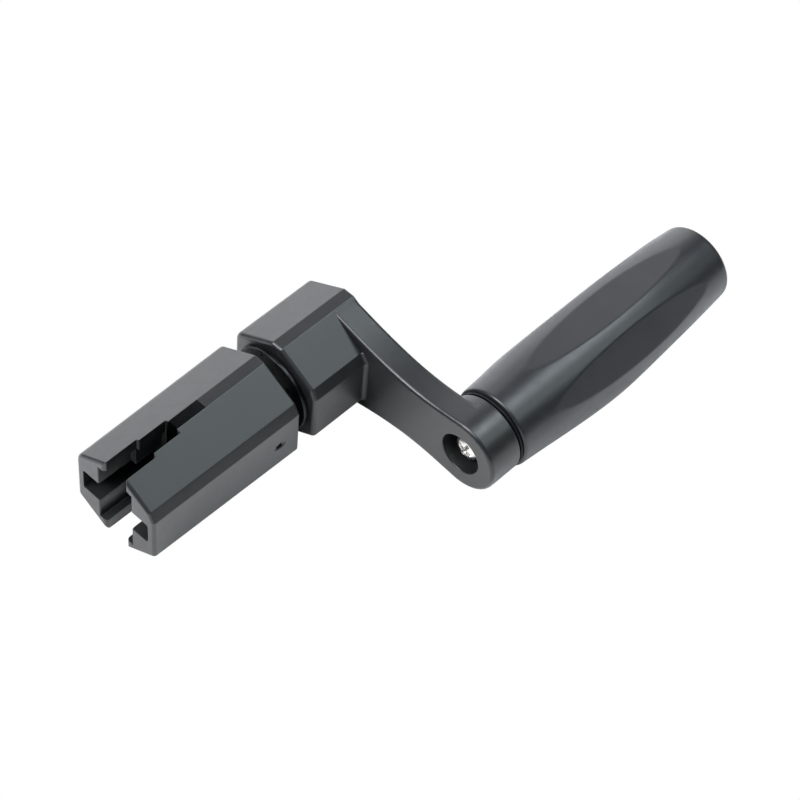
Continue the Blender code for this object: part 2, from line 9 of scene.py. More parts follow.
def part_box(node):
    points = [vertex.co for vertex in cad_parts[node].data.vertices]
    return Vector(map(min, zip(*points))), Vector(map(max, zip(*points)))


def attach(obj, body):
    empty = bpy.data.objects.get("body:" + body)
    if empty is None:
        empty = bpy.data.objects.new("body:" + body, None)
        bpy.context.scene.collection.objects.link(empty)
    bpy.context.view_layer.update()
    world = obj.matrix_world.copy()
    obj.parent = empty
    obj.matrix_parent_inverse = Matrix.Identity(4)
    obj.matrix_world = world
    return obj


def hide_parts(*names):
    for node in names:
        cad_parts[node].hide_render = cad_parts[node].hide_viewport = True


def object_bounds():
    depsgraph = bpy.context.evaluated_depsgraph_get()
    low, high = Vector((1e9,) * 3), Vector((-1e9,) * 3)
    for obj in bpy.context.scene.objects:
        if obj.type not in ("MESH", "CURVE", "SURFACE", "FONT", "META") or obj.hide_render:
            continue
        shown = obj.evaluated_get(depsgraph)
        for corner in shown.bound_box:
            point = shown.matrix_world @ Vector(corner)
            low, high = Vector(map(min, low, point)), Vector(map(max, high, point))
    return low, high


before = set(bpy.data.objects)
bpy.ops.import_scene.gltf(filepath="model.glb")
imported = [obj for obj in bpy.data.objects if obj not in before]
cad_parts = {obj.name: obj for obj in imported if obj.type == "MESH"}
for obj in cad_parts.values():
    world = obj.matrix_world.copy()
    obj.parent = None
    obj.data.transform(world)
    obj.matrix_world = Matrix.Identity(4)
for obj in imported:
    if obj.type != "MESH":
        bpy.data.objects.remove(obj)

cad_low, cad_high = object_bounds()

MM = 0.001

# ------------------------------------------------------------ places from the CAD
head_low, head_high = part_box("winder_head")
body_low, body_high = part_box("crank_body")
grip_low, grip_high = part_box("grip_sleeve")
collar_low, collar_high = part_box("shank_socket")
ring_low, ring_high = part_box("thrust_washer")
screw_low, screw_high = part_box("spindle_screw")
cap_low, cap_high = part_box("grip_end_cap")
pin_low, pin_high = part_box("head_pin")

TIP = head_low.y
HEAD_BACK = head_high.y
BLOCK_FRONT = body_low.y
BOSS_BACK = body_high.y
GRIP_FRONT = grip_low.y
GRIP_BACK = grip_high.y
THROW = (ring_low.x + ring_high.x) / 2

# ------------------------------------------------------------ shape of the moulding
HEAD_R = 15.15 * MM             # hexagon circumradius at the head's back end
TIP_SCALE = 0.965
BLOCK_R = 15.23 * MM
CORNER_CUT = 0.875 * MM         # how far a chamfer lies inside the hexagon's corner
CHAMFERED = (30, 90, 270)       # corners that are chamfered, in degrees from +X
CORNER_EDGE = 1.3 * MM          # rounding of a plain corner
CHAMFER_EDGE = 0.6 * MM         # rounding of each edge of a chamfer
SOFT_CORNER = 150               # the one corner that is rounded more, in degrees
SOFT_EDGE = 3.0 * MM
SHARPEST = 0.03 * MM            # smallest rounding of a corner
ARM_FRONT = -7.3 * MM
ARM_ROOT = (0.9 * MM, 14.33 * MM)       # x and z of the arm's upper edge at the block
ARM_WAIST = (29.5 * MM, 9.07 * MM)      # and at its waist
EYE_R = 10.2 * MM
EYE_TOUCH = 96                  # where the arm's edge meets the eye, in degrees from +X
ROOT_END = 0.02                 # radius at both ends of the arm's root fillet, in mm
ROOT_RADII = (                  # degrees round the block from +X, radius of the fillet in mm
    (-60, ROOT_END),
    (-50, 0.35),
    (-30, 1.0),
    (0, 1.15),
    (15, 1.15),
    (30, 1.0),
    (50, 0.35),
    (60, ROOT_END),
)
SLOT_STEPS = (                  # depth from the tip, lip, room and pocket half-widths
    (9.8 * MM, 3.25 * MM, 5.3 * MM, 10.6 * MM),
    (17.8 * MM, 2.4 * MM, 3.6 * MM, 8.4 * MM),
    (26.4 * MM, 1.3 * MM, 1.9 * MM, 1.9 * MM),
)
ROOM_HALF = 9.4 * MM
POCKET_HALF = 3.15 * MM
SHANK_AF = 6.35 * MM
SHANK_IN_HEAD = 12.0 * MM
SOCKET_AF = 11.0 * MM
GAP = 0.3 * MM
GRIP_STATIONS = (               # distance along Y, radius at a ridge and at the plain side
    (3.5 * MM, 10.72 * MM, 10.72 * MM),
    (10.0 * MM, 11.10 * MM, 11.25 * MM),
    (20.0 * MM, 11.85 * MM, 12.15 * MM),
    (30.0 * MM, 12.33 * MM, 12.85 * MM),
    (38.0 * MM, 12.48 * MM, 13.00 * MM),
    (45.0 * MM, 12.48 * MM, 12.70 * MM),
    (54.0 * MM, 12.22 * MM, 12.10 * MM),
    (66.0 * MM, 11.32 * MM, 11.25 * MM),
    (78.0 * MM, 10.20 * MM, 10.20 * MM),
)
SKIN = 0.03 * MM                # how far the grip's visible skin lies inside the CAD solid
FLAT_ANGLES = (33.4, 93.4, 153.4, 213.4, 273.4)
FLAT_TURN = 21.8                # half-angle of a flat at its widest, in degrees
FLAT_MID = 42.3 * MM
FLAT_HALF = 27.3 * MM
FLAT_BLEND = 0.09 * MM          # how softly a flat runs out into the barrel
PLAIN_ANGLE = -26.6             # middle of the side without a flat, in degrees
PLAIN_NEAR, PLAIN_FAR = 10.0, 35.0      # degrees from there over which it fades out
BEARING_R = 7.5 * MM
KEY_AF = 7.0 * MM               # hexagonal seat of the grip's spindle in the boss
STEM_BORE_R = 2.3 * MM
WEB_FRONT = -1.9 * MM           # floor of the eye's counterbore
SCREW_UNDER = -3.3 * MM         # underside of the screw's head


# ------------------------------------------------------------ mesh helpers

def loft(rings):
    """Closed solid through rings of points that all have the same count."""
    bm = bmesh.new()
    made = [[bm.verts.new(p) for p in ring] for ring in rings]
    count = len(made[0])
    for a, b in zip(made, made[1:]):
        for i in range(count):
            j = (i + 1) % count
            bm.faces.new((a[i], a[j], b[j], b[i]))
    bm.faces.new(made[0][::-1])
    bm.faces.new(made[-1])
    return bm


def solid(name, bm):
    """Object in the scene from a bmesh, which is then freed."""
    bmesh.ops.recalc_face_normals(bm, faces=bm.faces)
    mesh = bpy.data.meshes.new(name)
    bm.to_mesh(mesh)
    bm.free()
    obj = bpy.data.objects.new(name, mesh)
    bpy.context.scene.collection.objects.link(obj)
    return obj


def combine(obj, bm, operation):
    """Boolean the object with a solid that is then thrown away."""
    tool = solid("tool", bm)
    mod = obj.modifiers.new("bool", "BOOLEAN")
    mod.operation = operation
    mod.solver = "EXACT"
    mod.object = tool
    settle(obj)
    old = tool.data
    bpy.data.objects.remove(tool)
    bpy.data.meshes.remove(old)


def settle(obj):
    """Apply the object's modifiers to its mesh."""
    bpy.context.view_layer.update()
    graph = bpy.context.evaluated_depsgraph_get()
    mesh = bpy.data.meshes.new_from_object(obj.evaluated_get(graph))
    old = obj.data
    obj.modifiers.clear()
    obj.data = mesh
    bpy.data.meshes.remove(old)


def soften(obj, width, segments, angle):
    """Round the sharp edges that the Booleans left."""
    clean(obj)
    mod = obj.modifiers.new("soft", "BEVEL")
    mod.width = width
    mod.segments = segments
    mod.limit_method = "ANGLE"
    mod.angle_limit = math.radians(angle)
    mod.use_clamp_overlap = False
    settle(obj)


def clean(obj):
    """Merge points that nearly touch and join faces that lie in one plane."""
    near = 0.004 * MM
    level = math.radians(0.3)
    bm = bmesh.new()
    bm.from_mesh(obj.data)
    bmesh.ops.remove_doubles(bm, verts=bm.verts, dist=near)
    bmesh.ops.dissolve_degenerate(bm, edges=bm.edges, dist=near)
    bmesh.ops.dissolve_limit(bm, angle_limit=level, verts=bm.verts, edges=bm.edges)
    bm.to_mesh(obj.data)
    bm.free()


def shade(obj, angle=32):
    """Smooth shading with area-weighted normals, so flat faces stay flat."""
    obj.data.shade_smooth()
    obj.data.set_sharp_from_angle(angle=math.radians(angle))
    mod = obj.modifiers.new("normals", "WEIGHTED_NORMAL")
    mod.keep_sharp = True
    mod.weight = 100
    settle(obj)


def quarter(steps):
    """Pairs (inset, advance) of a quarter round of radius 1, from its end inwards."""
    turns = [math.radians(90 * i / steps) for i in range(steps + 1)]
    return [(1 - math.sin(turn), 1 - math.cos(turn)) for turn in turns]


def hexagon_path(radius, inset=0.0):
    """Rounded hexagon, a corner on top and some corners chamfered, as (x, z, normal angle)."""
    steps = 4
    planes = []
    for degrees in range(0, 360, 30):
        if degrees % 60 == 0:
            planes.append((degrees, radius * math.cos(math.radians(30)) - inset))
        elif degrees in CHAMFERED:
            planes.append((degrees, radius - CORNER_CUT - inset))
    points = []
    for (a, da), (b, db) in zip(planes, planes[1:] + planes[:1]):
        turn = (b - a) % 360
        if turn < 60:
            full = CHAMFER_EDGE
        elif a == SOFT_CORNER - 30:
            full = SOFT_EDGE
        else:
            full = CORNER_EDGE
        r = max(full - inset, SHARPEST)
        na = Vector((math.cos(math.radians(a)), math.sin(math.radians(a))))
        nb = Vector((math.cos(math.radians(b)), math.sin(math.radians(b))))
        det = na.x * nb.y - na.y * nb.x
        corner = Vector(((da * nb.y - db * na.y) / det, (na.x * db - nb.x * da) / det))
        centre = corner - (na + nb) * (r / (1 + na.dot(nb)))
        for i in range(steps + 1):
            at = math.radians(a + turn * i / steps)
            points.append((centre.x + r * math.cos(at), centre.y + r * math.sin(at), math.degrees(at)))
    return points


def hexagon(radius, inset=0.0):
    """The rounded hexagon as (x, z) points."""
    return [(x, z) for x, z, _ in hexagon_path(radius, inset)]


def plain_hexagon(flats, y, at=(0.0, 0.0)):
    """Sharp hexagon across Y from its width across flats, centred on (x, z)."""
    r = flats / math.sqrt(3)
    return [(at[0] + r * math.cos(math.radians(a)), y, at[1] + r * math.sin(math.radians(a)))
            for a in range(30, 390, 60)]


def circle(radius, y, segments, x=0.0, z=0.0):
    """Circle across Y, centred on (x, z)."""
    return [(x + radius * math.cos(math.tau * i / segments), y,
             z + radius * math.sin(math.tau * i / segments)) for i in range(segments)]


def turned(profile, segments, x=0.0):
    """Turned solid about an axis along Y from an open (radius, y) profile."""
    return loft([circle(r, y, segments, x) for r, y in profile])


def spun(profile, segments, x=0.0):
    """Ring about the Y axis through (x, z = 0) from a closed (radius, y) profile."""
    bm = bmesh.new()
    rings = [[bm.verts.new(p) for p in circle(r, y, segments, x)] for r, y in profile]
    for a, b in zip(rings, rings[1:] + rings[:1]):
        for i in range(segments):
            j = (i + 1) % segments
            bm.faces.new((a[i], a[j], b[j], b[i]))
    return bm


def rounded_ring(inner, outer, y0, y1, edge):
    """(radius, y) profile of a ring whose two outer edges are rounded."""
    front = [(outer - edge * s, y0 + edge * c) for s, c in quarter(4)]
    back = [(r, y0 + y1 - y) for r, y in reversed(front)]
    return [(inner, y0)] + front + back + [(inner, y1)]


# ------------------------------------------------------------ head

def cross_ring(y, lip, room, pocket):
    """Cross-shaped cavity outline: an open slot along Z behind lips, a pocket along X."""
    tall = HEAD_R * 1.3         # past the outside of the head
    nick = 0.45 * MM
    right = [(lip, tall), (lip, ROOM_HALF), (room, ROOM_HALF), (room, POCKET_HALF)]
    if pocket > room:
        right += [(pocket - nick, POCKET_HALF), (pocket, POCKET_HALF - nick)]
    else:
        right += [(room, POCKET_HALF - nick / 2), (room, POCKET_HALF - nick)]
    right += [(x, -z) for x, z in reversed(right)]
    left = [(-x, -z) for x, z in right]
    return [(x, y, z) for x, z in right + left]


def build_head():
    """Tapered hexagon with a stepped cross-shaped cavity, a shank seat and a pin hole."""
    length = HEAD_BACK - TIP

    def section(y, inset):
        """The head's cross-section at a place along its taper."""
        scale = TIP_SCALE + (1 - TIP_SCALE) * (y - TIP) / length
        return [(x, y, z) for x, z in hexagon(HEAD_R * scale, inset)]

    edge, back_edge = 0.9 * MM, 0.6 * MM
    nose = TIP + 0.08 * MM      # front face of the visible head, just inside the CAD solid
    rings = [section(nose + edge * c, edge * s) for s, c in quarter(5)]
    rings += [section(HEAD_BACK - back_edge * c, back_edge * s) for s, c in reversed(quarter(4))]
    head = solid("head_shell", loft(rings))

    mouth = 1.15 * MM           # rounding of the slot's front edges
    room_flare = 0.3 * MM
    overlap = 1.0 * MM
    start = TIP - 5.0 * MM
    for number, (depth, lip, room, pocket) in enumerate(SLOT_STEPS):
        if number == 0:
            rings = [cross_ring(start, lip + mouth, room + room_flare, pocket)]
            rings += [cross_ring(nose + mouth * c, lip + mouth * s, room + room_flare * s, pocket)
                      for s, c in quarter(5)]
        else:
            rings = [cross_ring(start, lip, room, pocket)]
        rings.append(cross_ring(TIP + depth, lip, room, pocket))
        combine(head, loft(rings), "DIFFERENCE")
        start = TIP + depth - overlap

    seat = SHANK_AF + 2 * GAP
    flare = 0.5 * MM
    combine(head, loft([plain_hexagon(seat, HEAD_BACK - SHANK_IN_HEAD - GAP),
                        plain_hexagon(seat, HEAD_BACK - flare),
                        plain_hexagon(seat + 2 * flare, HEAD_BACK),
                        plain_hexagon(seat + 2 * flare, HEAD_BACK + overlap)]), "DIFFERENCE")

    pin_y = (pin_low.y + pin_high.y) / 2
    pin_z = (pin_low.z + pin_high.z) / 2
    pin_r = (pin_high.y - pin_low.y) / 2 + GAP
    side = HEAD_R * math.cos(math.radians(30))
    ring = circle(pin_r, 0.0, segments=32)
    hole = loft([[(end * HEAD_R, pin_y + x, pin_z + z) for x, _, z in ring] for end in (-1, 1)])
    combine(head, hole, "DIFFERENCE")
    scoop_r, scoop_half, scoop_depth = 1.3 * MM, 2.8 * MM, 0.45 * MM
    for end in (-1, 1):
        lens = [(scoop_r * math.cos(math.radians(a)), pin_y + scoop_half * math.sin(math.radians(a)))
                for a in range(-84, 85, 12)]
        middle = end * (side + scoop_r - scoop_depth)
        rings = [circle(r, y, 40, middle, pin_z) for r, y in lens]
        combine(head, loft(rings), "DIFFERENCE")
    soften(head, width=0.17 * MM, segments=2, angle=42)
    shade(head)
    return head


# ------------------------------------------------------------ crank

def arm_curve():
    """Upper edge of the arm, from the block over the waist to the eye."""
    root = Vector((ARM_ROOT[0], 0.0, ARM_ROOT[1]))
    waist = Vector((ARM_WAIST[0], 0.0, ARM_WAIST[1]))
    touch = math.radians(EYE_TOUCH)
    eye = Vector((THROW + EYE_R * math.cos(touch), 0.0, EYE_R * math.sin(touch)))
    along = Vector((math.sin(touch), 0.0, -math.cos(touch)))
    leave = Vector((5.0 * MM, 0, -1.1 * MM))
    before, after = Vector((-12.0 * MM, 0, 0)), Vector((5.0 * MM, 0, 0))
    arrive = along * (5.0 * MM)
    first = interpolate_bezier(root, root + leave, waist + before, waist, 40)
    second = interpolate_bezier(waist, waist + after, eye - arrive, eye, 24)
    return [(p.x, p.z) for p in first + second[1:]]


def arm_outline(inset):
    """Arm and eye as one outline, moved inwards by the inset."""
    upper = arm_curve()
    arc = [(THROW + EYE_R * math.cos(math.radians(a)), EYE_R * math.sin(math.radians(a)))
           for a in range(EYE_TOUCH - 4, -1, -4)]
    half = upper + arc
    whole = half + [(x, -z) for x, z in reversed(half[:-1])]
    moved = []
    for i, (x, z) in enumerate(whole):
        before = Vector(whole[max(i - 1, 0)])
        after = Vector(whole[min(i + 1, len(whole) - 1)])
        along = (after - before).normalized()
        moved.append((x + along.y * inset, z - along.x * inset))
    return moved


def fillet_rings():
    """Fillet between the block's side and the arm's front, swept round the hexagon."""
    path = hexagon_path(BLOCK_R)
    each = len(path) // (6 + len(CHAMFERED))
    path = path[8 * each - 1:] + path[:2 * each + 1]
    steps = 12
    sink = 0.03 * MM            # the fillet's edges lie this far inside both faces
    bury = 1.0 * MM
    rings = []
    for i, (x, z, angle) in enumerate(path):
        angle = (angle + 180) % 360 - 180
        r = ROOT_END
        if 0 < i < len(path) - 1:
            for (a, ra), (b, rb) in zip(ROOT_RADII, ROOT_RADII[1:]):
                if a <= angle <= b:
                    r = ra + (rb - ra) * (angle - a) / (b - a)
        r *= MM
        out = Vector((math.cos(math.radians(angle)), math.sin(math.radians(angle))))
        arc = []
        for k in range(steps + 1):
            turn = math.radians(90 * k / steps)
            arc.append((r - r * math.cos(turn) - sink, ARM_FRONT - r * (1 - math.sin(turn)) + sink))
        arc += [(r - sink, ARM_FRONT + bury), (-bury, ARM_FRONT + bury), (-bury, ARM_FRONT - r + sink)]
        rings.append([(x + out.x * d, y, z + out.y * d) for d, y in arc])
    return rings


def build_crank():
    """Hexagonal block, waisted arm and round eye with its boss, bored for screw and socket."""
    edge, back_edge = 1.2 * MM, 0.5 * MM
    past = 1.0 * MM             # how far a cutter runs past the face it opens
    rings = [[(x, BLOCK_FRONT + edge * c, z) for x, z in hexagon(BLOCK_R, edge * s)]
             for s, c in quarter(5)]
    rings += [[(x, -back_edge * c, z) for x, z in hexagon(BLOCK_R, back_edge * s)]
              for s, c in reversed(quarter(4))]
    body = solid("crank_shell", loft(rings))

    front, back = 1.0 * MM, 1.1 * MM
    rings = [[(x, ARM_FRONT + front * c, z) for x, z in arm_outline(front * s)] for s, c in quarter(6)]
    rings += [[(x, -back * c, z) for x, z in arm_outline(back * s)] for s, c in reversed(quarter(4))]
    combine(body, loft(rings), "UNION")
    combine(body, loft(fillet_rings()), "UNION")

    land = 0.35 * MM
    boss_r = EYE_R - 0.004 * MM
    boss = [(EYE_R - 1.2 * MM, -3.0 * MM), (boss_r, -2.0 * MM)]
    boss += [(boss_r - land * s, BOSS_BACK - land * c) for s, c in reversed(quarter(4))]
    combine(body, turned(boss, 128, THROW), "UNION")

    bore = 5.5 * MM
    lip = 0.3 * MM
    foot = 0.3 * MM
    mouth = [(bore + lip, ARM_FRONT - 2 * MM)]
    mouth += [(bore + lip * s, ARM_FRONT + lip * c) for s, c in quarter(4)]
    mouth += [(bore, WEB_FRONT - foot), (bore - foot, WEB_FRONT)]
    combine(body, turned(mouth, 96, THROW), "DIFFERENCE")
    stem = [(STEM_BORE_R, WEB_FRONT - past), (STEM_BORE_R, BOSS_BACK + past)]
    combine(body, turned(stem, 48, THROW), "DIFFERENCE")
    key = KEY_AF + 2 * GAP
    combine(body, loft([plain_hexagon(key, GAP, (THROW, 0.0)),
                        plain_hexagon(key, BOSS_BACK + past, (THROW, 0.0))]), "DIFFERENCE")
    seat = SOCKET_AF + 2 * GAP
    flare = 0.4 * MM
    combine(body, loft([plain_hexagon(seat + 2 * flare, BLOCK_FRONT - past),
                        plain_hexagon(seat + 2 * flare, BLOCK_FRONT),
                        plain_hexagon(seat, BLOCK_FRONT + flare),
                        plain_hexagon(seat, collar_high.y + GAP)]), "DIFFERENCE")
    clean(body)
    shade(body)
    return body


def build_collar():
    """Socket with its round collar; the collar shows as a thin rim before the block."""
    radius = collar_high.z
    front, back = collar_low.y, BLOCK_FRONT - GAP
    edge = 0.2 * MM
    past = 1.0 * MM
    profile = [(radius - edge * s, front + edge * c) for s, c in quarter(5)]
    profile += [(radius - edge * s, back - edge * c) for s, c in reversed(quarter(3))]
    collar = solid("collar_rim", turned(profile, 128))
    combine(collar, loft([plain_hexagon(SOCKET_AF, back - GAP),
                          plain_hexagon(SOCKET_AF, collar_high.y)]), "UNION")
    hole = SHANK_AF + 2 * GAP
    flare = 0.5 * MM
    combine(collar, loft([plain_hexagon(hole + 2 * flare, front - past),
                          plain_hexagon(hole + 2 * flare, front),
                          plain_hexagon(hole, front + flare),
                          plain_hexagon(hole, collar_high.y + past)]), "DIFFERENCE")
    magnet_low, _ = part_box("socket_magnet")
    seat_r = 3.5 * MM
    seat = [(seat_r, magnet_low.y - GAP), (seat_r, collar_high.y + past)]
    combine(collar, turned(seat, 48), "DIFFERENCE")
    clean(collar)
    shade(collar)
    return collar


# ------------------------------------------------------------ grip

def station_radius(y, column):
    """Smooth curve through one column of the grip's stations."""
    last = len(GRIP_STATIONS) - 1
    i = 0
    while i < last - 1 and y > GRIP_STATIONS[i + 1][0]:
        i += 1

    def slope(k):
        """Slope of the curve at a station, from its neighbours."""
        a, b = GRIP_STATIONS[max(k - 1, 0)], GRIP_STATIONS[min(k + 1, last)]
        return (b[column] - a[column]) / (b[0] - a[0])

    here, there = GRIP_STATIONS[i], GRIP_STATIONS[i + 1]
    span = there[0] - here[0]
    t = min(max((y - here[0]) / span, 0.0), 1.0)
    return (here[column] * (1 + 2 * t) * (1 - t) ** 2 + there[column] * (3 - 2 * t) * t * t
            + span * (slope(i) * t * (1 - t) ** 2 - slope(i + 1) * t * t * (1 - t)))


def soft_min(a, b, width):
    """The lesser of two values, blended where they are closer than the width."""
    overlap = max(width - abs(a - b), 0.0) / width
    return min(a, b) - overlap * overlap * width / 4


def grip_ring(y, inset, segments):
    """One cross-section: a rounded barrel cut by flats with oval outlines."""
    ridge, plain = station_radius(y, 1), station_radius(y, 2)
    along = (y - FLAT_MID) / FLAT_HALF
    half = math.radians(FLAT_TURN) * math.sqrt(max(1.0 - along * along, 0.0))
    flat = ridge * math.cos(half)
    blend = min(FLAT_BLEND, (ridge - flat) / 2)
    ring = []
    for i in range(segments):
        angle = math.tau * i / segments
        away = abs((math.degrees(angle) - PLAIN_ANGLE + 180) % 360 - 180)
        t = min(max((PLAIN_FAR - away) / (PLAIN_FAR - PLAIN_NEAR), 0.0), 1.0)
        radius = ridge + (plain - ridge) * t * t * (3 - 2 * t)
        for degrees in FLAT_ANGLES:
            lean = math.cos(angle - math.radians(degrees))
            if blend > 0.0 and lean > 0.5:
                radius = soft_min(radius, flat / lean, blend)
        radius -= inset + SKIN
        ring.append((THROW + radius * math.cos(angle), y, radius * math.sin(angle)))
    return ring


def build_grip():
    """Barrel skin with a stepped bore that seats both bearings."""
    segments, count = 360, 130
    edge, back_edge = 0.7 * MM, 1.1 * MM
    stops = [(GRIP_FRONT + edge * c, edge * s) for s, c in quarter(6)]
    first, last = GRIP_FRONT + edge, GRIP_BACK - back_edge
    stops += [(first + (last - first) * i / count, 0.0) for i in range(1, count)]
    stops += [(GRIP_BACK - back_edge * c, back_edge * s) for s, c in reversed(quarter(7))]
    outer = [grip_ring(y, inset, segments) for y, inset in stops]
    _, front_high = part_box("front_bearing_outer_ring")
    rear_low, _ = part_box("rear_bearing_outer_ring")
    front_stop, rear_stop = front_high.y + GAP, rear_low.y - GAP
    bore_r = 6.5 * MM
    chamfer = 0.25 * MM
    bore = [(BEARING_R + chamfer, GRIP_BACK), (BEARING_R, GRIP_BACK - chamfer), (BEARING_R, rear_stop),
            (bore_r, rear_stop), (bore_r, front_stop), (BEARING_R, front_stop),
            (BEARING_R, GRIP_FRONT + chamfer), (BEARING_R + chamfer, GRIP_FRONT)]
    rings = outer + [circle(r, y, segments, THROW) for r, y in bore]
    bm = bmesh.new()
    made = [[bm.verts.new(p) for p in ring] for ring in rings]
    for a, b in zip(made, made[1:] + made[:1]):
        for i in range(segments):
            j = (i + 1) % segments
            bm.faces.new((a[i], a[j], b[j], b[i]))
    grip = solid("grip_skin", bm)
    grip.data.shade_smooth()
    grip.data.set_sharp_from_angle(angle=math.radians(40))
    return grip


def build_ring():
    """Flat ring between the boss and the grip."""
    bore, edge = 4.6 * MM, 0.22 * MM
    profile = rounded_ring(bore, ring_high.x - THROW, ring_low.y, ring_high.y, edge)
    ring = solid("grip_ring", spun(profile, 160, THROW))
    shade(ring)
    return ring


def build_cap():
    """End plug of the grip, with a shallow round dish."""
    radius = cap_high.x - THROW
    edge, lead = 0.45 * MM, 0.3 * MM
    rim, foot, dish = 5.6 * MM, 5.0 * MM, 0.35 * MM
    step, fall = 0.3 * MM, 0.1 * MM
    dimple, dimple_foot, dimple_depth = 0.8 * MM, 0.3 * MM, 0.05 * MM
    face = cap_high.y
    profile = [(radius - lead, cap_low.y), (radius, cap_low.y + lead)]
    profile += [(radius - edge * s, face - edge * c) for s, c in reversed(quarter(5))]
    profile += [(rim, face), (rim - step, face - fall), (foot, face - dish)]
    profile += [(dimple, face - dish), (dimple_foot, face - dish - dimple_depth)]
    cap = solid("end_plug", turned(profile, 128, THROW))
    shade(cap)
    return cap


def build_screw():
    """Pan head with a cross recess on a threaded stem."""
    top = screw_low.y
    head_r, dome, stem_r = 3.5 * MM, 1.75 * MM, 1.75 * MM
    edge = 0.15 * MM
    profile = [(head_r * math.sin(math.radians(a)), top + dome * (1 - math.cos(math.radians(a))))
               for a in (6, 16, 27, 38, 49, 60, 70, 80, 90)]
    profile += [(head_r, SCREW_UNDER - edge), (head_r - edge, SCREW_UNDER), (stem_r, SCREW_UNDER)]
    pitch, thread, run_out = 0.7 * MM, 0.28 * MM, 1.2 * MM
    y = SCREW_UNDER + 0.5 * MM
    while y < screw_high.y - run_out:
        profile += [(stem_r, y), (stem_r - thread, y + pitch / 2)]
        y += pitch
    point, point_r = 0.5 * MM, 1.25 * MM
    profile += [(stem_r - 0.1 * MM, screw_high.y - point), (point_r, screw_high.y)]
    screw = solid("pan_screw", turned(profile, 72, THROW))
    recess = (                  # depth, half-length and half-width of a wing, in mm
        (-0.5, 2.15, 0.5),
        (0.15, 2.1, 0.46),
        (0.7, 1.75, 0.4),
        (1.9, 0.85, 0.22),
    )
    for turn in (20, 110):
        a = math.radians(turn)
        along = Vector((math.cos(a), 0.0, -math.sin(a)))
        across = Vector((math.sin(a), 0.0, math.cos(a)))
        rings = []
        for depth, wing, half in recess:
            at = Vector((THROW, top + depth * MM, 0.0))
            rings.append([tuple(at + along * (sx * wing * MM) + across * (sz * half * MM))
                          for sx, sz in ((-1, -1), (1, -1), (1, 1), (-1, 1))])
        combine(screw, loft(rings), "DIFFERENCE")
    soften(screw, width=0.06 * MM, segments=2, angle=50)
    shade(screw, angle=40)
    return screw


# ------------------------------------------------------------ materials

NOISE_LOW, NOISE_HIGH = 0.3, 0.7        # the span in which most of a noise value lies


def nodes_of(name):
    """New material with its tree, its Principled shader and the object coordinates."""
    mat = bpy.data.materials.new(name)
    mat.use_nodes = True
    tree = mat.node_tree
    shader = tree.nodes["Principled BSDF"]
    place = tree.nodes.new("ShaderNodeTexCoord").outputs["Object"]
    return mat, tree, shader, place


def noise(tree, place, scale=1.0, detail=3.0, rough=0.5, stretch=None):
    """Noise value, with its space stretched when three scales are given."""
    if stretch is not None:
        mapping = tree.nodes.new("ShaderNodeMapping")
        mapping.inputs["Scale"].default_value = stretch
        tree.links.new(place, mapping.inputs["Vector"])
        place = mapping.outputs["Vector"]
    node = tree.nodes.new("ShaderNodeTexNoise")
    node.inputs["Scale"].default_value = scale
    node.inputs["Detail"].default_value = detail
    node.inputs["Roughness"].default_value = rough
    tree.links.new(place, node.inputs["Vector"])
    return node.outputs["Fac"]


def spread(tree, value, low, high):
    """Map a noise value to a range of roughness."""
    node = tree.nodes.new("ShaderNodeMapRange")
    node.inputs["From Min"].default_value = NOISE_LOW
    node.inputs["From Max"].default_value = NOISE_HIGH
    node.inputs["To Min"].default_value = low
    node.inputs["To Max"].default_value = high
    tree.links.new(value, node.inputs["Value"])
    return node.outputs["Result"]


def tint(tree, value, colours):
    """Ramp over a noise value between two colours, each given as (place, (r, g, b))."""
    node = tree.nodes.new("ShaderNodeValToRGB")
    for element, (at, colour) in zip(node.color_ramp.elements, colours):
        element.position = at
        element.color = (*colour, 1.0)
    tree.links.new(value, node.inputs["Fac"])
    return node.outputs["Color"]


def mix_colour(tree, factor, a, b):
    """Blend of two colours with a fixed share of the second."""
    node = tree.nodes.new("ShaderNodeMix")
    node.data_type = "RGBA"
    node.inputs["Factor"].default_value = factor
    tree.links.new(a, node.inputs["A"])
    tree.links.new(b, node.inputs["B"])
    return node.outputs["Result"]


def bumps(tree, shader, layers):
    """Stack bump layers of (height value, depth in metres)."""
    normal = None
    for height, depth in layers:
        node = tree.nodes.new("ShaderNodeBump")
        node.inputs["Strength"].default_value = 1.0
        node.inputs["Distance"].default_value = depth
        tree.links.new(height, node.inputs["Height"])
        if normal is not None:
            tree.links.new(normal, node.inputs["Normal"])
        normal = node.outputs["Normal"]
    tree.links.new(normal, shader.inputs["Normal"])


def plastic(name, dark, light, roughness, streak=None, shine=0.5):
    """Satin moulded plastic: fine spark-eroded grain, faint mottling and flow marks."""
    mat, tree, shader, place = nodes_of(name)
    grain = 0.0032 * MM
    broad = noise(tree, place, scale=110.0, detail=2.0)
    fine = noise(tree, place, scale=3000.0, detail=2.0, rough=0.6)
    deep = tuple(0.8 * c for c in dark)
    pale = tuple(1.25 * c for c in light)
    base = tint(tree, broad, ((NOISE_LOW, dark), (NOISE_HIGH, light)))
    speck = tint(tree, fine, ((0.25, deep), (0.8, pale)))
    tree.links.new(mix_colour(tree, 0.5, base, speck), shader.inputs["Base Color"])
    worn = noise(tree, place, scale=420.0, detail=4.0, rough=0.62)
    tree.links.new(spread(tree, worn, roughness - 0.03, roughness + 0.04), shader.inputs["Roughness"])
    shader.inputs["Specular IOR Level"].default_value = shine
    layers = [(fine, grain), (noise(tree, place, scale=700.0, detail=2.0), grain * 0.3)]
    if streak is not None:
        layers.append((noise(tree, place, rough=0.6, stretch=streak), grain * 0.7))
    bumps(tree, shader, layers)
    shader.inputs["IOR"].default_value = 1.5
    return mat


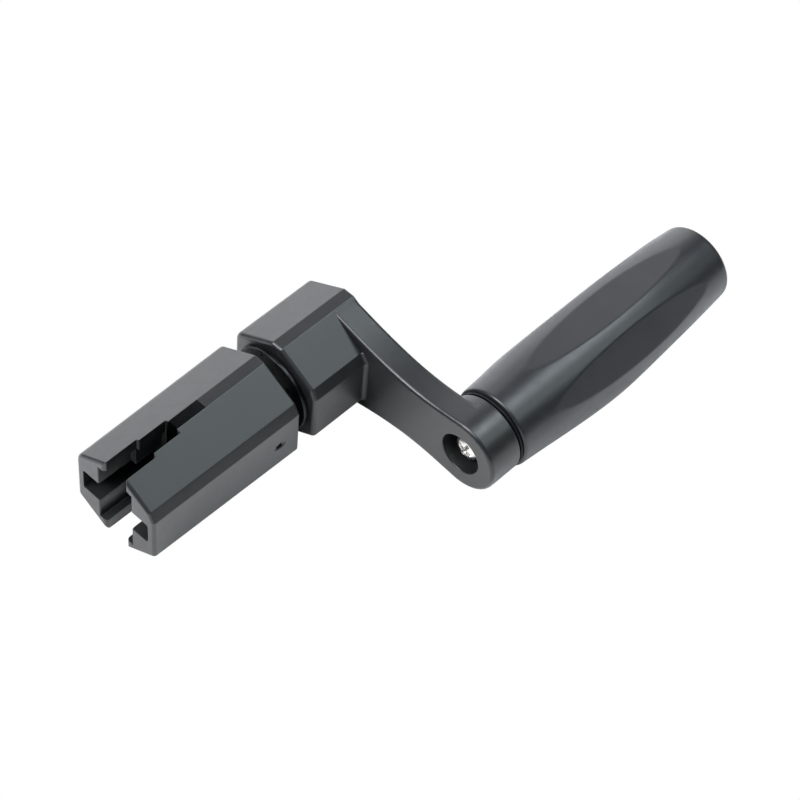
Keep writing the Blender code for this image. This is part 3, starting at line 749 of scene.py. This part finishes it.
def metal(name, dark, light, roughness):
    """Turned steel: tool marks round the Y axis and a little staining."""
    mat, tree, shader, place = nodes_of(name)
    marks = noise(tree, place, rough=0.6, stretch=(260.0, 3800.0, 260.0))
    stain = noise(tree, place, scale=500.0, detail=4.0, rough=0.6)
    base = tint(tree, stain, ((NOISE_LOW, dark), (0.65, light)))
    scored = tint(tree, marks, ((0.2, dark), (0.8, light)))
    tree.links.new(mix_colour(tree, 0.35, base, scored), shader.inputs["Base Color"])
    tree.links.new(spread(tree, stain, roughness - 0.05, roughness + 0.12), shader.inputs["Roughness"])
    bumps(tree, shader, [(marks, 0.004 * MM)])
    shader.inputs["Metallic"].default_value = 1.0
    return mat


def nylon(name, dark, light):
    """Uncoloured nylon of the bearing cages."""
    mat, tree, shader, place = nodes_of(name)
    cloud = noise(tree, place, scale=600.0)
    colour = tint(tree, cloud, ((NOISE_LOW, dark), (NOISE_HIGH, light)))
    tree.links.new(colour, shader.inputs["Base Color"])
    tree.links.new(spread(tree, cloud, 0.42, 0.55), shader.inputs["Roughness"])
    bumps(tree, shader, [(noise(tree, place, scale=3000.0), 0.004 * MM)])
    return mat


def dress(obj, mat):
    """Give the object this material only."""
    obj.data.materials.clear()
    obj.data.materials.append(mat)


# ------------------------------------------------------------ build the pieces

shell_black = plastic("shell_black", (0.0085, 0.0095, 0.0105), (0.0115, 0.0130, 0.0135), 0.33)
grip_black = plastic("grip_black", (0.0097, 0.0108, 0.0130), (0.0130, 0.0145, 0.0172), 0.34,
                     streak=(120.0, 900.0, 120.0))
ring_black = plastic("ring_rubber", (0.002, 0.002, 0.003), (0.004, 0.004, 0.005), 0.50, shine=0.15)
bright_steel = metal("bright_steel_looks", (0.50, 0.48, 0.45), (0.80, 0.78, 0.74), 0.24)
# The collar's dark steel is made near black, far darker than the other dark steel. This is painted
# shade for the gap between the head and the block.
collar_steel_and_painted_shade = metal("collar_steel_and_painted_shade_looks", (0.016, 0.017, 0.018), (0.035, 0.036, 0.038), 0.30)
dark_steel = metal("dark_steel_looks", (0.09, 0.09, 0.10), (0.17, 0.17, 0.18), 0.36)
magnet_nickel = metal("magnet_nickel_looks", (0.52, 0.49, 0.43), (0.68, 0.65, 0.58), 0.18)
cage_nylon = nylon("cage_nylon_looks", (0.42, 0.35, 0.22), (0.60, 0.53, 0.38))

head_shell = build_head()
crank_shell = build_crank()
collar_rim = build_collar()
grip_skin = build_grip()
grip_ring_piece = build_ring()
end_plug = build_cap()
pan_screw = build_screw()

for obj, mat, body, node, slot in (
    (head_shell, shell_black, "head", "winder_head", "moulded_black"),
    (crank_shell, shell_black, "crank", "crank_body", "moulded_black"),
    (collar_rim, collar_steel_and_painted_shade, "crank", "shank_socket", "dark_steel"),
    (grip_skin, grip_black, "grip", "grip_sleeve", "grip_black"),
    (grip_ring_piece, ring_black, "crank", "thrust_washer", "ring_black"),
    (end_plug, shell_black, "grip", "grip_end_cap", "moulded_black"),
    (pan_screw, bright_steel, "crank", "spindle_screw", "bright_steel"),
):
    dress(obj, mat)
    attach(obj, body)
    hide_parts(node)

DARK_WORDS = ("pin", "washer", "spacer", "clip")        # "pin" also finds the spindle
for name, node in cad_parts.items():
    if "cage" in name:
        dress(node, cage_nylon)
    elif "magnet" in name:
        dress(node, magnet_nickel)
    elif name != "spindle_screw" and any(word in name for word in DARK_WORDS):
        dress(node, dark_steel)
    elif not node.hide_render:
        dress(node, bright_steel)

# ------------------------------------------------------------ floor, light and camera

FLOOR_DROP = 0.05 * MM
FLOOR_HALF = 0.45
WHITE = (1.0, 1.0, 1.0, 1.0)
PAPER = (0.90, 0.90, 0.895, 1.0)
AIR = (0.96, 0.96, 1.0, 1.0)
AIR_STRENGTH = 0.08


def camera_sees(tree, seen, lit, output):
    """Show the camera one shader and let everything else meet another."""
    either = tree.nodes.new("ShaderNodeMixShader")
    path = tree.nodes.new("ShaderNodeLightPath")
    tree.links.new(path.outputs["Is Camera Ray"], either.inputs["Fac"])
    tree.links.new(lit, either.inputs[1])
    tree.links.new(seen, either.inputs[2])
    tree.links.new(either.outputs["Shader"], tree.nodes[output].inputs["Surface"])


floor_mesh = bmesh.new()
bmesh.ops.create_grid(floor_mesh, x_segments=8, y_segments=8, size=FLOOR_HALF)
floor = solid("floor", floor_mesh)
floor.location = (0.0, 0.0, cad_low.z - FLOOR_DROP)
paper = bpy.data.materials.new("paper")
paper.use_nodes = True
sheet = paper.node_tree
paper_shader = sheet.nodes["Principled BSDF"]
paper_shader.inputs["Base Color"].default_value = PAPER
paper_shader.inputs["Roughness"].default_value = 0.9
paper_shader.inputs["Specular IOR Level"].default_value = 0.2
glow = sheet.nodes.new("ShaderNodeEmission")
camera_sees(sheet, glow.outputs["Emission"], paper_shader.outputs["BSDF"], "Material Output")
dress(floor, paper)

world = bpy.data.worlds.new("studio")
bpy.context.scene.world = world
world.use_nodes = True
air = world.node_tree
ambient = air.nodes["Background"]
ambient.inputs["Color"].default_value = AIR
ambient.inputs["Strength"].default_value = AIR_STRENGTH
backdrop = air.nodes.new("ShaderNodeBackground")
backdrop.inputs["Color"].default_value = WHITE
camera_sees(air, backdrop.outputs["Background"], ambient.outputs["Background"], "World Output")

AIM = Vector((0.022, 0.0, 0.0))
COOL = (0.97, 0.965, 1.0)
BLUE = (0.86, 0.955, 1.0)
CYAN = (0.86, 0.99, 0.97)
DEPTH = (0.0, 1.0, 0.0)
UP = (0.0, 0.0, 1.0)
SOFTBOXES = (       # name, direction from the object, size, radiance, way of the second size, colour
    ("left_panel", (-0.88, 0.48, 0.22), (1.1, 0.60), 2.3, UP, COOL),
    ("left_top", (-0.62, 0.48, 0.63), (0.30, 0.70), 2.0, DEPTH, COOL),
    ("top_strip", (0.21, 0.30, 0.93), (0.50, 0.50), 3.5, DEPTH, BLUE),
    ("top_core", (0.19, 0.30, 0.93), (0.24, 0.50), 1.8, DEPTH, BLUE),
    ("right_top", (0.60, 0.44, 0.67), (0.30, 0.60), 2.95, DEPTH, CYAN),
    ("front_key", (-0.36, -0.62, 0.70), (0.28, 0.28), 23.5, UP, COOL),
    ("front_top", (-0.1, -0.5, 0.9), (0.6, 0.4), 11.0, DEPTH, COOL),
    ("top_back", (0.19, 0.55, 0.81), (0.30, 0.20), 9.4, DEPTH, BLUE),
    ("back_left", (-0.36, 0.64, 0.68), (0.30, 0.20), 2.1, DEPTH, COOL),
    ("zenith", (-0.3, -0.1, 1.0), (0.4, 0.4), 3.2, DEPTH, COOL),
)


def softbox(name, towards, size, radiance, along, colour):
    """Flat soft light one metre from the object; its second size lies along a vector."""
    direction = Vector(towards).normalized()
    length = (Vector(along) - direction * direction.dot(Vector(along))).normalized()
    data = bpy.data.lights.new(name, "AREA")
    data.shape = "RECTANGLE"
    data.size, data.size_y = size
    data.energy = radiance * math.pi * size[0] * size[1]
    data.color = colour
    light = bpy.data.objects.new(name, data)
    light.location = AIM + direction
    light.rotation_mode = "QUATERNION"
    axes = Matrix((length.cross(direction), length, direction)).transposed()
    light.rotation_quaternion = axes.to_quaternion()
    light.visible_camera = False
    bpy.context.scene.collection.objects.link(light)


for row in SOFTBOXES:
    softbox(*row)

CAMERA_AT = Vector((0.262066, -0.297345, 0.483051))
CAMERA_FORWARD = Vector((-0.38988, 0.47574, -0.78846))
CAMERA_ROLL = 5.627             # degrees about the line of sight
CAMERA_LENS = 118.38            # mm on a 36 mm sensor

camera_data = bpy.data.cameras.new("camera")
camera_data.sensor_width = 36.0
camera_data.lens = CAMERA_LENS
camera_data.clip_start = 0.05
camera_data.clip_end = 10.0
camera = bpy.data.objects.new("camera", camera_data)
camera.location = CAMERA_AT
camera.rotation_mode = "QUATERNION"
roll = Quaternion((0.0, 0.0, 1.0), math.radians(CAMERA_ROLL))
camera.rotation_quaternion = CAMERA_FORWARD.to_track_quat("-Z", "Y") @ roll
bpy.context.scene.collection.objects.link(camera)
bpy.context.scene.camera = camera
bpy.context.scene.view_settings.view_transform = "Standard"
